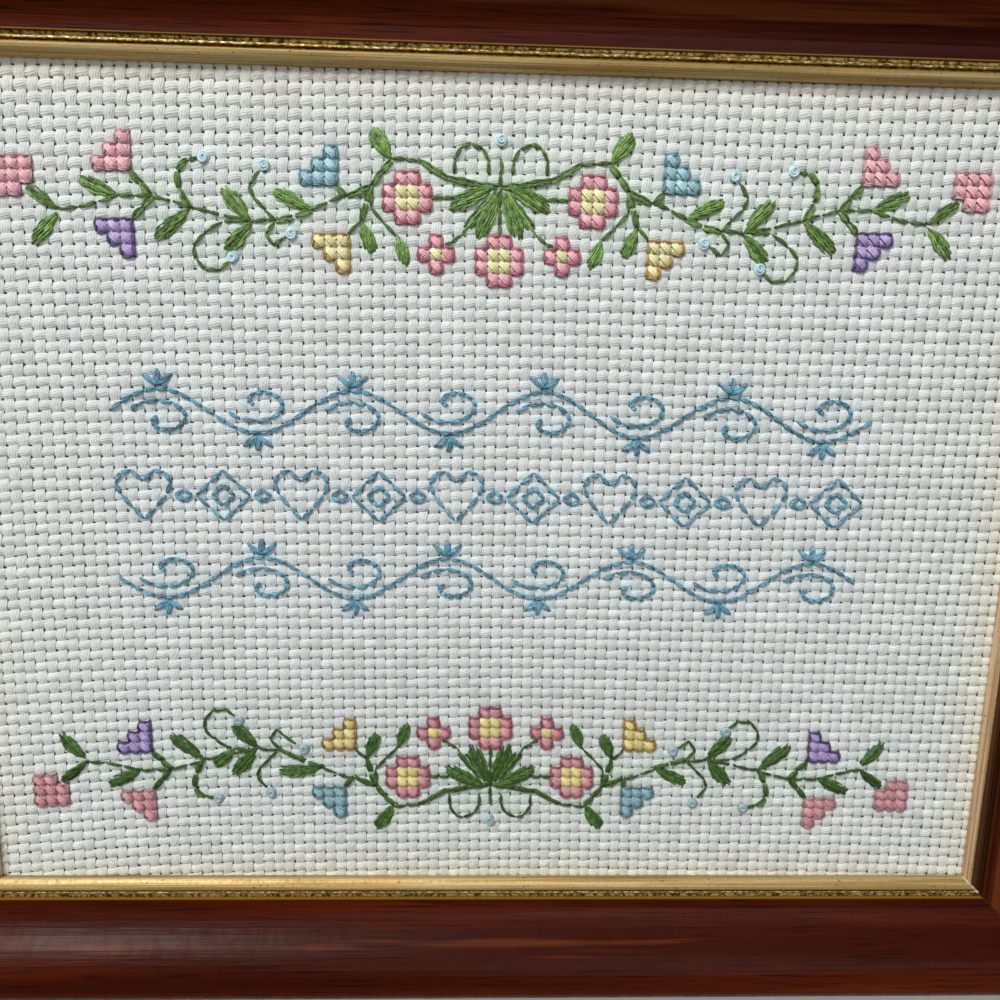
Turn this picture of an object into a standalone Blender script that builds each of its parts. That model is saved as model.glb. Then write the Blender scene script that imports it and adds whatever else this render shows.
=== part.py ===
"""Framed embroidered sign: a panel of cross-stitch cloth behind a gilt slip, in a mitred wooden frame.

Metres, +Z up. The sign lies on its back: X runs across its face, Y up its face and Z out of it.
The origin is the centre of the frame's back plane. Run with blender --background --python part.py.
"""

import math

import bmesh
import bpy

MM = 0.001

# Driving sizes, in metres
SIGHT_WIDTH = 171.45 * MM  # cloth that shows between the gilt slips, 6 3/4 in
SIGHT_HEIGHT = 133.35 * MM  # 5 1/4 in
GAP = 0.3 * MM  # between any two pieces that touch in the real frame
SLIP_WIDTH = 3.0 * MM  # gilt slip, from the sight edge to the wood
WOOD_WIDTH = 19.0 * MM
WOOD_HEIGHT = 15.6 * MM  # back plane to the crown of the moulding
BOARD_THICKNESS = 3.0 * MM
BOARD_RECESS = 3.3 * MM  # back plane to the back of the board
CLOTH_THICKNESS = 1.0 * MM
CLOTH_CROWN = 0.45 * MM  # how far the stretched cloth stands off its board in the middle
CLOTH_RIPPLE = 0.08 * MM  # unevenness left by the stitching

# Heights worked out from them
BOARD_TOP = BOARD_RECESS + BOARD_THICKNESS
CLOTH_BACK = BOARD_TOP + GAP
CLOTH_FACE = CLOTH_BACK + CLOTH_THICKNESS
SLIP_BACK = CLOTH_FACE + GAP
WOOD_INNER = SLIP_WIDTH + GAP  # from the sight edge outwards
WOOD_OUTER = WOOD_INNER + WOOD_WIDTH

# Base colours, linear
MAHOGANY = (0.085, 0.022, 0.010, 1.0)
GILT = (0.560, 0.350, 0.105, 1.0)
WHITE_AIDA = (0.640, 0.670, 0.660, 1.0)
GREY_BOARD = (0.330, 0.270, 0.200, 1.0)


def clear_scene():
    """Removes whatever the startup file holds."""
    for stray in list(bpy.data.objects):
        bpy.data.objects.remove(stray)


def material(name, colour, roughness, metallic=0.0):
    """A plain surface finish."""
    made = bpy.data.materials.new(name)
    made.use_nodes = True
    shader = made.node_tree.nodes["Principled BSDF"]
    shader.inputs["Base Color"].default_value = colour
    shader.inputs["Roughness"].default_value = roughness
    shader.inputs["Metallic"].default_value = metallic
    return made


def arc(centre, radius, start, end, steps):
    """Points of a round stretch of an outline, from one angle to another, in degrees."""
    angles = [math.radians(start + (end - start) * i / steps) for i in range(steps + 1)]
    return [(centre[0] + radius * math.cos(a), centre[1] + radius * math.sin(a)) for a in angles]


def ogee(start, end, steps):
    """Points of an S-shaped stretch that leaves start level and arrives at end level."""
    points = []
    for i in range(steps + 1):
        along = i / steps
        rise = 0.5 - 0.5 * math.cos(math.pi * along)
        points.append((start[0] + (end[0] - start[0]) * along, start[1] + (end[1] - start[1]) * rise))
    return points


def rounded_band(width, top, height, steps):
    """Points of a quarter ellipse that falls from its level top, width out, to the sight edge."""
    angles = [math.radians(90 * i / steps) for i in range(steps + 1)]
    return [(width * (1 - math.sin(a)), top - height * (1 - math.cos(a))) for a in angles]


def wood_outline():
    """Section of a wooden rail: (distance out from the sight edge, height above the back plane)."""
    fillet_width = 1.0 * MM  # narrow flat beside the gilt
    fillet_height = SLIP_BACK + 1.9 * MM
    crown_radius = 4.2 * MM
    crown = (WOOD_OUTER - crown_radius - 1.6 * MM, WOOD_HEIGHT - crown_radius)
    shoulder_radius = 1.6 * MM
    shoulder = (WOOD_OUTER - shoulder_radius, WOOD_HEIGHT - 5.8 * MM)
    outline = [(WOOD_OUTER, 0.0)]
    outline += arc(shoulder, shoulder_radius, 0, 90, 5)
    outline += arc(crown, crown_radius, 0, 90, 8)
    outline += ogee((crown[0] - 1.5 * MM, WOOD_HEIGHT), (WOOD_INNER + fillet_width, fillet_height), 12)
    outline += [(WOOD_INNER, fillet_height), (WOOD_INNER, 0.0)]
    return outline


def slip_outline():
    """Section of the gilt slip: a rounded main band, a quirk, and a fine bead against the wood."""
    edge_height = 0.3 * MM  # thin edge that meets the cloth
    band_width = 1.75 * MM
    band_height = 1.45 * MM
    quirk_width = 0.35 * MM
    quirk_depth = 0.55 * MM
    quirk_slope = 0.04 * MM
    bead_radius = 0.32 * MM
    band_top = SLIP_BACK + edge_height + band_height
    quirk_floor = band_top - quirk_depth
    bead = (band_width + quirk_width + bead_radius, quirk_floor)
    outline = [(SLIP_WIDTH, SLIP_BACK), (SLIP_WIDTH, quirk_floor)]
    outline += arc(bead, bead_radius, 0, 180, 8)
    outline.append((band_width + quirk_slope, quirk_floor))
    outline += rounded_band(band_width, band_top, band_height, 8)
    outline.append((0.0, SLIP_BACK))
    return outline


def mitred_bar(name, outline, length, offset, turn, finish):
    """A bar of one section, cut at 45 degrees at both ends, for one side of the frame.

    length is the sight size along the bar, offset the sight edge's distance from the centre,
    and turn the side of the frame that it makes, in degrees from the top.
    """
    cut_back = GAP / math.sqrt(2)
    mesh = bpy.data.meshes.new(name)
    bm = bmesh.new()
    section = bm.faces.new([bm.verts.new((-1.0, out, height)) for out, height in outline])
    swept = bmesh.ops.extrude_face_region(bm, geom=[section])["geom"]
    for vertex in [item for item in swept if isinstance(item, bmesh.types.BMVert)]:
        vertex.co.x = 1.0
    for vertex in bm.verts:
        vertex.co.x *= length / 2 + vertex.co.y - cut_back
        vertex.co.y += offset
    bmesh.ops.recalc_face_normals(bm, faces=bm.faces)
    bm.to_mesh(mesh)
    bm.free()
    mesh.shade_smooth()
    mesh.set_sharp_from_angle(angle=math.radians(35))
    mesh.materials.append(finish)
    bar = bpy.data.objects.new(name, mesh)
    bar.rotation_euler.z = math.radians(turn)
    return bar


def cloth_height(x, y, half_width, half_height):
    """How far the stretched cloth stands above its edges: a low crown and shallow ripples."""
    across = x / half_width
    up = y / half_height
    hold = (1 - across**4) * (1 - up**4)
    ripple = math.sin(5.1 * across + 0.6) * math.sin(3.7 * up - 0.4)
    return hold * (CLOTH_CROWN + CLOTH_RIPPLE * ripple)


def stitched_cloth(finish):
    """The cloth panel: one even-weave sheet held under the slips all round."""
    half_width = SIGHT_WIDTH / 2 + SLIP_WIDTH
    half_height = SIGHT_HEIGHT / 2 + SLIP_WIDTH
    bm = bmesh.new()
    bmesh.ops.create_grid(bm, x_segments=28, y_segments=22, size=1.0)
    for vertex in bm.verts:
        vertex.co.x *= half_width
        vertex.co.y *= half_height
        vertex.co.z = CLOTH_FACE + cloth_height(vertex.co.x, vertex.co.y, half_width, half_height)
    mesh = bpy.data.meshes.new("stitched_cloth")
    bm.to_mesh(mesh)
    bm.free()
    mesh.shade_smooth()
    mesh.materials.append(finish)
    cloth = bpy.data.objects.new("stitched_cloth", mesh)
    weave = cloth.modifiers.new("Cloth thickness", "SOLIDIFY")
    weave.thickness = CLOTH_THICKNESS
    weave.offset = -1.0
    return cloth


def backing_board(finish):
    """The stiff board behind the cloth, let into the back of the frame."""
    bm = bmesh.new()
    bmesh.ops.create_cube(bm, size=1.0)
    for vertex in bm.verts:
        vertex.co.x *= SIGHT_WIDTH + 2 * SLIP_WIDTH
        vertex.co.y *= SIGHT_HEIGHT + 2 * SLIP_WIDTH
        vertex.co.z *= BOARD_THICKNESS
    mesh = bpy.data.meshes.new("backing_board")
    bm.to_mesh(mesh)
    bm.free()
    mesh.materials.append(finish)
    board = bpy.data.objects.new("backing_board", mesh)
    board.location.z = BOARD_RECESS + BOARD_THICKNESS / 2
    edges = board.modifiers.new("Worn edges", "BEVEL")
    edges.width = 0.3 * MM
    edges.segments = 2
    return board


def frame_sides(kind, outline, finish):
    """Four mitred bars of one section, one for each side of the sight opening."""
    sides = [
        ("top", SIGHT_WIDTH, SIGHT_HEIGHT / 2, 0),
        ("left", SIGHT_HEIGHT, SIGHT_WIDTH / 2, 90),
        ("bottom", SIGHT_WIDTH, SIGHT_HEIGHT / 2, 180),
        ("right", SIGHT_HEIGHT, SIGHT_WIDTH / 2, 270),
    ]
    return [
        mitred_bar(f"{kind}_{side}", outline, length, offset, turn, finish)
        for side, length, offset, turn in sides
    ]


def build():
    """Builds every piece of the sign in one collection."""
    clear_scene()
    collection = bpy.data.collections.new("framed_embroidered_sign")
    bpy.context.scene.collection.children.link(collection)
    pieces = frame_sides("rail", wood_outline(), material("mahogany", MAHOGANY, 0.32))
    pieces += frame_sides("slip", slip_outline(), material("gilt", GILT, 0.30, metallic=0.9))
    pieces.append(stitched_cloth(material("white_aida", WHITE_AIDA, 0.9)))
    pieces.append(backing_board(material("grey_board", GREY_BOARD, 0.85)))
    for piece in pieces:
        collection.objects.link(piece)


build()
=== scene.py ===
"""Framed embroidered sign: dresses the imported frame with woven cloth, stitching, wood and gold leaf.

Metres, in the row's frame: X across the sign, Y up its face, Z out of it. Places on the cloth are given
in blocks of its weave, u across from the middle and w up from the middle, and Cloth.place turns them into
metres.
"""

import logging
import math
from dataclasses import dataclass, field, replace
from enum import Enum

import bpy
import numpy as np
from mathutils import Matrix


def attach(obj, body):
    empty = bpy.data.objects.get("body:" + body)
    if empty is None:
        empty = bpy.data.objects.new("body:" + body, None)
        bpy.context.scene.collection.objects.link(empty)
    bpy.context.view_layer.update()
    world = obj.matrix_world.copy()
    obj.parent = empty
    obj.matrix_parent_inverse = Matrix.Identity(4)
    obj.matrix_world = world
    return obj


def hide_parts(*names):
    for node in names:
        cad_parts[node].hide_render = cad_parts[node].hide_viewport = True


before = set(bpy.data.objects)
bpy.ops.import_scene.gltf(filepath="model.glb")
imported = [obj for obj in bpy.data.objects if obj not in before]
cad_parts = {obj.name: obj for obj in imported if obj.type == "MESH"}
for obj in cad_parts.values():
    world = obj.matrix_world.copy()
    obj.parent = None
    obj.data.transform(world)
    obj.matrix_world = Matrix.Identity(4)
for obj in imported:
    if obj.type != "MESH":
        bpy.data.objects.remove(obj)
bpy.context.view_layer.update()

log = logging.getLogger("sign")
logging.basicConfig(level=logging.INFO, format="%(message)s")

MM = 0.001
BODY = "root"
Colour = tuple[float, float, float]
Paint = tuple[float, float, float, float]
Spot = tuple[float, float]
Place = tuple[float, float, float]
Socket = bpy.types.NodeSocket
Material = bpy.types.Material


class Run(Enum):
    """Which way a frame piece or a bundle of threads runs across the face."""

    ACROSS = "x"
    UP = "y"


class Motif(Enum):
    """The charted shapes that are filled with cross-stitch."""

    ROUND_FLOWER = "round flower"
    SMALL_FLOWER = "small flower"
    FAN = "fan"
    BUD = "bud"


@dataclass(frozen=True)
class Grid:
    """Points and faces of one piece, with values kept at its points."""

    points: np.ndarray
    quads: np.ndarray
    uv: np.ndarray
    tone: np.ndarray
    caps: tuple[np.ndarray, ...] = ()

    @staticmethod
    def join(parts: list["Grid"]) -> "Grid":
        """Several grids as one.

        Args:
            parts: the grids, each with its own numbering.

        Returns:
            One grid that holds them all.
        """
        starts = np.cumsum([0] + [len(part.points) for part in parts[:-1]])
        quads = np.concatenate([part.quads + start for part, start in zip(parts, starts)])
        caps = tuple(cap + start for part, start in zip(parts, starts) for cap in part.caps)
        return Grid(
            np.concatenate([part.points for part in parts]),
            quads,
            np.concatenate([part.uv for part in parts]),
            np.concatenate([part.tone for part in parts]),
            caps,
        )

    @staticmethod
    def plain(points: np.ndarray, quads: np.ndarray, caps: tuple[np.ndarray, ...] = ()) -> "Grid":
        """A grid with no tone of its own, whose UV map is its plan."""
        spots = points.reshape(-1, 3)
        return Grid(spots, quads, spots[:, :2] * 100, np.ones((len(spots), 3)), caps)

    def to_object(self, name: str, finish: Material) -> bpy.types.Object:
        """Puts the grid into a mesh object with a UV map and a tone attribute.

        Args:
            name: the piece's name.
            finish: the material of the whole piece.

        Returns:
            The new object, at the origin, in the scene.
        """
        mesh = bpy.data.meshes.new(name)
        kinds = (self.quads, *self.caps)
        loops = np.concatenate([faces.ravel() for faces in kinds]).astype(np.int32)
        size = np.concatenate([np.full(len(faces), faces.shape[1]) for faces in kinds]).astype(np.int32)
        mesh.vertices.add(len(self.points))
        mesh.vertices.foreach_set("co", self.points.astype(np.float32).ravel())
        mesh.loops.add(len(loops))
        mesh.loops.foreach_set("vertex_index", loops)
        mesh.polygons.add(len(size))
        mesh.polygons.foreach_set("loop_start", np.concatenate([[0], np.cumsum(size)[:-1]]).astype(np.int32))
        mesh.polygons.foreach_set("loop_total", size)
        mesh.update(calc_edges=True)
        mesh.validate()
        layer = mesh.uv_layers.new(name="UVMap")
        layer.data.foreach_set("uv", self.uv[loops].astype(np.float32).ravel())
        tone = mesh.color_attributes.new(name="tone", type="FLOAT_COLOR", domain="POINT")
        filled = np.ones((len(self.points), 4), dtype=np.float32)
        filled[:, :3] = self.tone
        tone.data.foreach_set("color", filled.ravel())
        mesh.polygons.foreach_set("use_smooth", np.ones(len(size), dtype=bool))
        mesh.materials.append(finish)
        piece = bpy.data.objects.new(name, mesh)
        bpy.context.scene.collection.objects.link(piece)
        return piece


def lattice(rows: int, columns: int, wrap: bool = False) -> np.ndarray:
    """Quads of a grid of points that is numbered row by row.

    Args:
        rows: points along the first parameter.
        columns: points along the second one.
        wrap: joins the last column to the first, as round a tube.

    Returns:
        Four point numbers for each face, counter-clockwise where the first parameter runs right and the
            second up.
    """
    first = np.arange(rows - 1)[:, None] * columns
    second = np.arange(columns if wrap else columns - 1)[None, :]
    following = (second + 1) % columns
    faces = np.stack(
        [first + second, first + columns + second, first + columns + following, first + following], axis=-1
    )
    return faces.reshape(-1, 4)


def tubes(count: int, along: int, around: int) -> tuple[np.ndarray, np.ndarray]:
    """The faces of several closed tubes, each numbered ring by ring. A last cap turns the other way from
    a first.

    Args:
        count: how many tubes.
        along: rings in each.
        around: points in each ring.

    Returns:
        The quads of the walls, and the caps.
    """
    starts = np.arange(count)[:, None, None] * along * around
    ring = np.arange(around)
    ends = np.stack([ring, ring[::-1] + (along - 1) * around])
    return (lattice(along, around, wrap=True) + starts).reshape(-1, 4), (ends + starts).reshape(-1, around)


def wander(count: int, seed: int, amount: float) -> np.ndarray:
    """Small seeded differences between like things, evenly spread about nought.

    Args:
        count: how many values.
        seed: the same seed gives the same values.
        amount: the largest difference.

    Returns:
        The values, as one row.
    """
    return np.random.default_rng(seed).uniform(-amount, amount, count)


class Nodes:
    """A short way to lay out one material's nodes."""

    def __init__(self, name: str) -> None:
        """Starts a material that has only its shader and its output.

        Args:
            name: the material's name.
        """
        self.material = bpy.data.materials.new(name)
        self.material.use_nodes = True
        self.tree = self.material.node_tree
        self.shader = self.tree.nodes["Principled BSDF"]

    def add(self, kind: str, values: dict | None = None, **settings: object) -> bpy.types.Node:
        """One node, with its settings, and its sockets' values or links.

        Args:
            kind: the node's type.
            values: by socket name or number, a plain value or another node's output.
            settings: attributes of the node itself.

        Returns:
            The new node.
        """
        node = self.tree.nodes.new(kind)
        for setting, value in settings.items():
            setattr(node, setting, value)
        for socket, value in (values or {}).items():
            self.put(node.inputs[socket], value)
        return node

    def put(self, socket: Socket, value: object) -> None:
        """Links an output to a socket, or writes a plain value on it."""
        if isinstance(value, Socket):
            self.tree.links.new(value, socket)
        else:
            socket.default_value = value

    def math(self, work: str, first: object, second: object = 0.5, third: object = 0.0) -> Socket:
        """The result of one Math node."""
        return self.add("ShaderNodeMath", {0: first, 1: second, 2: third}, operation=work).outputs[0]

    def spread(self, value: object, low: float, high: float, to_low: float, to_high: float) -> Socket:
        """A value carried smoothly from one range to another, and held at its ends."""
        node = self.add(
            "ShaderNodeMapRange",
            {"Value": value, "From Min": low, "From Max": high, "To Min": to_low, "To Max": to_high},
            interpolation_type="SMOOTHSTEP",
        )
        return node.outputs["Result"]

    def mix(self, share: object, first: object, second: object, blend: str = "MIX") -> Socket:
        """Two colours mixed by a share."""
        node = self.add("ShaderNodeMix", data_type="RGBA", blend_type=blend)
        self.put(node.inputs[0], share)
        self.put(node.inputs[6], first)
        self.put(node.inputs[7], second)
        return node.outputs[2]

    def over(self, base: object, colour: object, value: object, low: float, high: float,
             most: float = 1.0) -> Socket:
        """A colour laid over a base, more and more as a value runs from low to high."""
        return self.mix(self.spread(value, low, high, 0.0, most), base, colour)

    def noise(self, place: object, scale: float, detail: float = 3.0, rough: float = 0.5) -> Socket:
        """Cloudy noise on a place."""
        node = self.add(
            "ShaderNodeTexNoise", {"Vector": place, "Scale": scale, "Detail": detail, "Roughness": rough}
        )
        return node.outputs[0]

    def place(self) -> Socket:
        """The point's place on the object, in metres."""
        return self.add("ShaderNodeTexCoord").outputs["Object"]

    def stretched(self, place: object, scale: Place) -> Socket:
        """A place scaled by a different amount along each axis."""
        return self.add("ShaderNodeMapping", {"Vector": place, "Scale": scale}).outputs[0]

    def along(self, run: Run, scale: Place) -> Socket:
        """The place scaled by one amount along a piece's run, one across it and one in depth."""
        lengthwise, crosswise, deep = scale
        turned = scale if run is Run.ACROSS else (crosswise, lengthwise, deep)
        return self.stretched(self.place(), turned)

    def outwards(self, run: Run, sight_edge: float) -> Socket:
        """How far a point lies outside the sight edge of a piece, in metres."""
        split = self.add("ShaderNodeSeparateXYZ", {0: self.place()})
        over = split.outputs[1] if run is Run.ACROSS else split.outputs[0]
        return self.math("SUBTRACT", self.math("ABSOLUTE", over), sight_edge)

    def bump(self, height: object, distance: float, strength: float = 1.0, over: object = None) -> Socket:
        """A normal tilted by a height in units of distance, over another bump where one is given."""
        node = self.add("ShaderNodeBump", {"Height": height, "Distance": distance, "Strength": strength})
        if over is not None:
            self.put(node.inputs["Normal"], over)
        return node.outputs[0]

    def shade(self, **values: object) -> None:
        """Writes values or links on the shader's sockets, whose names are given with _ for a space."""
        for socket, value in values.items():
            self.put(self.shader.inputs[socket.replace("_", " ")], value)


@dataclass(frozen=True)
class Finish:
    """What every finish shares: a material of its own, on which it lays its nodes."""

    def material(self, name: str) -> Material:
        """The finish as a material.

        Args:
            name: the material's name.

        Returns:
            The material.
        """
        nodes = Nodes(name)
        self.lay_on(nodes)
        return nodes.material

    def lay_on(self, nodes: Nodes) -> None:
        """Lays the finish's nodes, and each kind has its own."""
        raise NotImplementedError


@dataclass(frozen=True)
class AidaCotton(Finish):
    """Washed white cotton bundles of four threads, toned by the floss beside them, with painted reflection
    and shadow in their tone and painted shade in the furrows between threads.
    """

    colour: Paint = (0.72, 0.757, 0.75, 1.0)
    worn: Paint = (0.93, 0.93, 0.92, 1.0)
    fresh: Paint = (1.0, 1.0, 1.0, 1.0)
    threads: float = 4.0
    # furrow: the tone that painted shade leaves in the furrows between threads
    furrow: float = 0.86
    slant: float = 0.12

    def lay_on(self, nodes: Nodes) -> None:
        """Cotton whose threads run along the UV map's first axis."""
        uv = nodes.add("ShaderNodeUVMap", uv_map="UVMap").outputs[0]
        split = nodes.add("ShaderNodeSeparateXYZ", {0: uv})
        strayed = nodes.noise(nodes.stretched(uv, (1.6, 2.4, 1.0)), 1.0, 2.0)
        slanted = nodes.math("MULTIPLY_ADD", split.outputs[0], -self.slant, split.outputs[1])
        strayed = nodes.math("MULTIPLY", strayed, 3.4)
        around = nodes.math("MULTIPLY_ADD", slanted, self.threads * math.pi, strayed)
        ridge = nodes.math("ABSOLUTE", nodes.math("SINE", around))
        fibre = nodes.noise(nodes.stretched(uv, (3.0, 26.0, 1.0)), 1.0, 4.0, 0.6)
        cloud = nodes.noise(nodes.place(), 420.0, 2.0)
        tone = nodes.add("ShaderNodeAttribute", attribute_name="tone").outputs["Color"]
        worn = nodes.over(self.worn, self.fresh, cloud, 0.3, 0.7)
        base = nodes.mix(1.0, self.colour, tone, "MULTIPLY")
        base = nodes.mix(1.0, base, worn, "MULTIPLY")
        # Painted shade: darker in the furrows between the threads.
        furrow = nodes.spread(ridge, 0.0, 0.6, self.furrow, 1.0)
        furrow = nodes.math("MULTIPLY", furrow, nodes.spread(fibre, 0.36, 0.60, 0.90, 1.03))
        shaded = nodes.add("ShaderNodeCombineColor", {0: furrow, 1: furrow, 2: furrow}).outputs[0]
        base = nodes.mix(1.0, base, shaded, "MULTIPLY")
        relief = nodes.bump(ridge, 0.00006, 0.7)
        relief = nodes.bump(fibre, 0.00007, 0.9, relief)
        relief = nodes.bump(nodes.noise(nodes.place(), 1500.0, 2.0), 0.00016, 0.75, relief)
        relief = nodes.bump(nodes.noise(nodes.place(), 4600.0, 2.0), 0.00006, 0.75, relief)
        nodes.shade(Base_Color=base, Roughness=0.78, Normal=relief, Sheen_Weight=0.12, Sheen_Roughness=0.5,
                    Specular_IOR_Level=0.3)


@dataclass(frozen=True)
class ShadedGround(Finish):
    """A ground under the cloth, which shows only down its holes, painted dark as the shade there."""

    colour: Paint = (0.16, 0.165, 0.165, 1.0)
    dim: Paint = (0.10, 0.10, 0.10, 1.0)

    def lay_on(self, nodes: Nodes) -> None:
        """Cotton painted dark as shade, in two dim tones, with a fine weave."""
        place = nodes.place()
        weave = nodes.add("ShaderNodeTexVoronoi", {"Vector": place, "Scale": 2600.0}).outputs["Distance"]
        cloud = nodes.noise(place, 300.0)
        dim = nodes.over(self.colour, self.dim, cloud, 0.3, 0.7)
        nodes.shade(Base_Color=dim, Roughness=0.9, Normal=nodes.bump(weave, 0.0001))


@dataclass(frozen=True)
class Floss(Finish):
    """Stranded cotton of one colour, softly lustrous, with its fibres twisted along each strand."""

    name: str
    colour: Colour
    pale: Colour
    halo: Colour
    gloss: float = 0.75

    def lay_on(self, nodes: Nodes) -> None:
        """Floss whose strands run along the UV map's first axis."""
        uv = nodes.add("ShaderNodeUVMap", uv_map="UVMap").outputs[0]
        split = nodes.add("ShaderNodeSeparateXYZ", {0: uv})
        twist = nodes.math("ADD", nodes.math("MULTIPLY", split.outputs[1], 10.0 * math.pi),
                           nodes.math("MULTIPLY", split.outputs[0], 9.0))
        ply = nodes.math("ABSOLUTE", nodes.math("SINE", twist))
        fibre = nodes.noise(nodes.stretched(uv, (2.2, 22.0, 1.0)), 1.0, 3.0, 0.6)
        cloud = nodes.noise(nodes.place(), 1300.0, 2.0)
        tone = nodes.add("ShaderNodeAttribute", attribute_name="tone").outputs["Color"]
        streaks = nodes.math("MULTIPLY_ADD", fibre, 0.75, nodes.math("MULTIPLY", cloud, 0.25))
        light = nodes.spread(streaks, 0.36, 0.60, 0.0, 1.0)
        base = nodes.mix(light, (*self.colour, 1.0), (*self.pale, 1.0))
        # The tone attribute carries painted shade on the strands' feet and undersides and on the lower
        # garland.
        base = nodes.mix(1.0, base, tone, "MULTIPLY")
        relief = nodes.bump(ply, 0.00005, 0.7)
        relief = nodes.bump(fibre, 0.00006, 0.8, relief)
        nodes.shade(Base_Color=base, Roughness=0.38, Normal=relief, Sheen_Weight=0.2 * self.gloss,
                    Sheen_Roughness=0.35, Specular_IOR_Level=self.gloss)


@dataclass(frozen=True)
class Mahogany(Finish):
    """Red-brown wood under an old glossy varnish. Its grain follows the rail's run, and its gold is
    placed by the distance of the sight edge from the middle of the sign.
    """

    run: Run
    sight_edge: float
    deep: Paint = (0.036, 0.0040, 0.0008, 1.0)
    mid: Paint = (0.084, 0.0110, 0.0014, 1.0)
    warm: Paint = (0.185, 0.034, 0.0050, 1.0)
    pore: Paint = (0.010, 0.002, 0.001, 1.0)
    streaked: Paint = (0.135, 0.030, 0.006, 1.0)
    gilt_across: Paint = (0.230, 0.125, 0.010, 1.0)
    gilt_up_shaded: Paint = (0.070, 0.020, 0.004, 1.0)
    gilt_ends: tuple[float, float] = (3.33 * MM, 3.55 * MM)

    def lay_on(self, nodes: Nodes) -> None:
        """Varnished wood for a rail that runs one way. Its thin wall beside the slip is painted gold, darker
        on the left and right rails as painted shade.
        """
        place = nodes.place()
        figure = nodes.noise(nodes.along(self.run, (6.0, 110.0, 110.0)), 1.0, 5.0, 0.55)
        pores = nodes.noise(nodes.along(self.run, (85.0, 2600.0, 2600.0)), 1.0, 3.0, 0.6)
        cloud = nodes.noise(place, 26.0, 3.0)
        base = nodes.over(self.deep, self.mid, figure, 0.36, 0.62)
        base = nodes.over(base, self.warm, figure, 0.58, 0.78, 0.75)
        base = nodes.over(base, self.pore, pores, 0.54, 0.66, 0.75)
        base = nodes.over(base, self.deep, cloud, 0.4, 0.7, 0.3)
        streak = nodes.noise(nodes.along(self.run, (30.0, 900.0, 900.0)), 0.34, 3.0, 0.65)
        base = nodes.over(base, self.streaked, streak, 0.54, 0.68, 0.75)
        outwards = nodes.outwards(self.run, self.sight_edge)
        # The left and right rails' gilt wall is darkened as painted shade.
        gilt = self.gilt_across if self.run is Run.ACROSS else self.gilt_up_shaded
        base = nodes.mix(nodes.spread(outwards, *self.gilt_ends, 1.0, 0.0), base, gilt)
        scuffs = nodes.noise(nodes.stretched(place, (700.0, 260.0, 400.0)), 1.0, 2.0)
        relief = nodes.bump(pores, 0.00010, 0.6)
        relief = nodes.bump(nodes.noise(place, 90.0, 3.0), 0.0003, 0.35, relief)
        nodes.shade(Base_Color=base, Roughness=nodes.spread(scuffs, 0.35, 0.75, 0.34, 0.5), Normal=relief,
                    Specular_IOR_Level=0.06, Coat_Weight=0.045, Coat_Roughness=0.16)


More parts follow.
